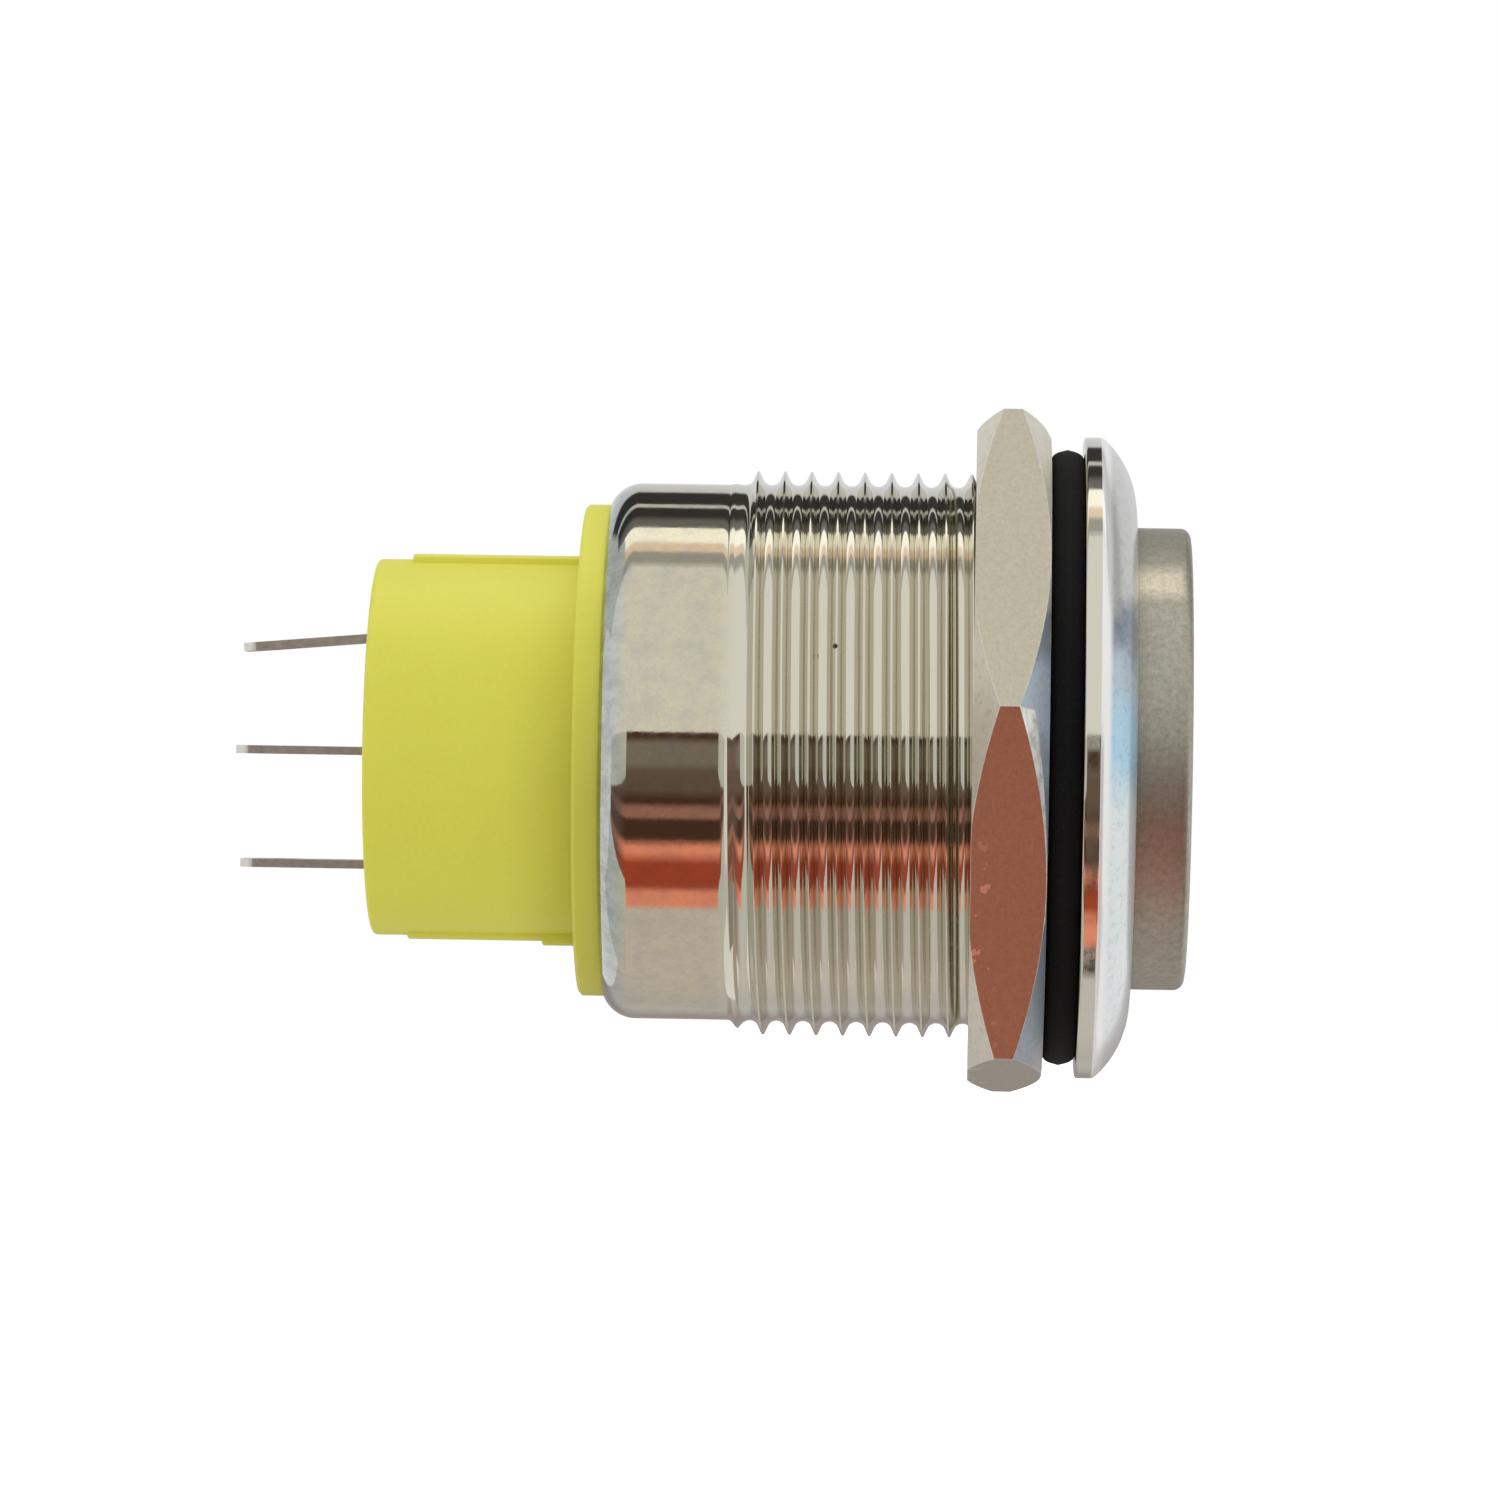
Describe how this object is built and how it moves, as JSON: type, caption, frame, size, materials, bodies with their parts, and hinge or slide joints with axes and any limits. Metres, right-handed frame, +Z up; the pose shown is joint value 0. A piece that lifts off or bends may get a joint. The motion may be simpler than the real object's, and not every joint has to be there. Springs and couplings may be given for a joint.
{
  "type": "pushbutton switch",
  "caption": "Round metal panel pushbutton switch with a high flat button, threaded barrel, hexagon nut, sealing ring and three flat terminals on a moulded base.",
  "frame": {"origin": "centre of the flange's rear face, where the panel's front lies", "axes": "+X out of the panel through the button, +Z up across the row of terminals"},
  "size_m": [0.0369, 0.0286, 0.0266],
  "materials": {
    "polished_nickel": "polished nickel plating on brass",
    "machined_nickel": "machined and plated, satin flats",
    "brushed_stainless": "finely turned stainless steel",
    "black_rubber": "matte black rubber",
    "yellow_plastic": "yellow-green moulded plastic",
    "white_plastic": "natural moulded plastic",
    "spring_steel": "spring wire",
    "tinned_brass": "dull tinned strip",
    "contact_silver": "silver-faced contact"
  },
  "bodies": {
    "switch_body": {"housing": "polished_nickel", "panel_seal_ring": "black_rubber", "button_seal_ring": "black_rubber", "guide_frame": "white_plastic", "terminal_base": "yellow_plastic", "base_seal_ring": "black_rubber", "common_terminal": "tinned_brass", "normally_closed_terminal": "tinned_brass", "normally_open_terminal": "tinned_brass", "normally_closed_contact": "contact_silver", "normally_open_contact": "contact_silver", "return_spring": "spring_steel", "arm_spring": "spring_steel"},
    "nut": {"hex_nut": "machined_nickel"},
    "button": {"button_cap": "brushed_stainless", "button_retaining_ring": "spring_steel", "plunger": "white_plastic", "overtravel_spring": "spring_steel"},
    "pin": {"push_pin": "tinned_brass"},
    "arm": {"contact_arm": "tinned_brass", "moving_contact": "contact_silver"}
  },
  "joints": [
    {"name": "nut_travel", "type": "slide", "parent": "switch_body", "child": "nut", "axis": [-1, 0, 0], "range_m": [0, 0.033]},
    {"name": "button_press", "type": "slide", "parent": "switch_body", "child": "button", "axis": [-1, 0, 0], "range_m": [0, 0.0018], "stiffness_N_per_m": 1200, "springref_m": -0.0015, "deforming": ["return_spring", "overtravel_spring", "arm_spring"]},
    {"name": "pin_press", "type": "slide", "parent": "switch_body", "child": "pin", "axis": [-1, 0, 0], "range_m": [0, 0.0005296]},
    {"name": "arm_tilt", "type": "hinge", "parent": "switch_body", "child": "arm", "pos_m": [-0.01172, 0, 0.00425], "axis": [0, 1, 0], "range_deg": [0, 7.03]}
  ],
  "couplings": [
    {"joint": "pin_press", "follows": "button_press", "ratio": 0.29131},
    {"joint": "arm_tilt", "follows": "button_press", "rad_per_m": 68.19}
  ]
}
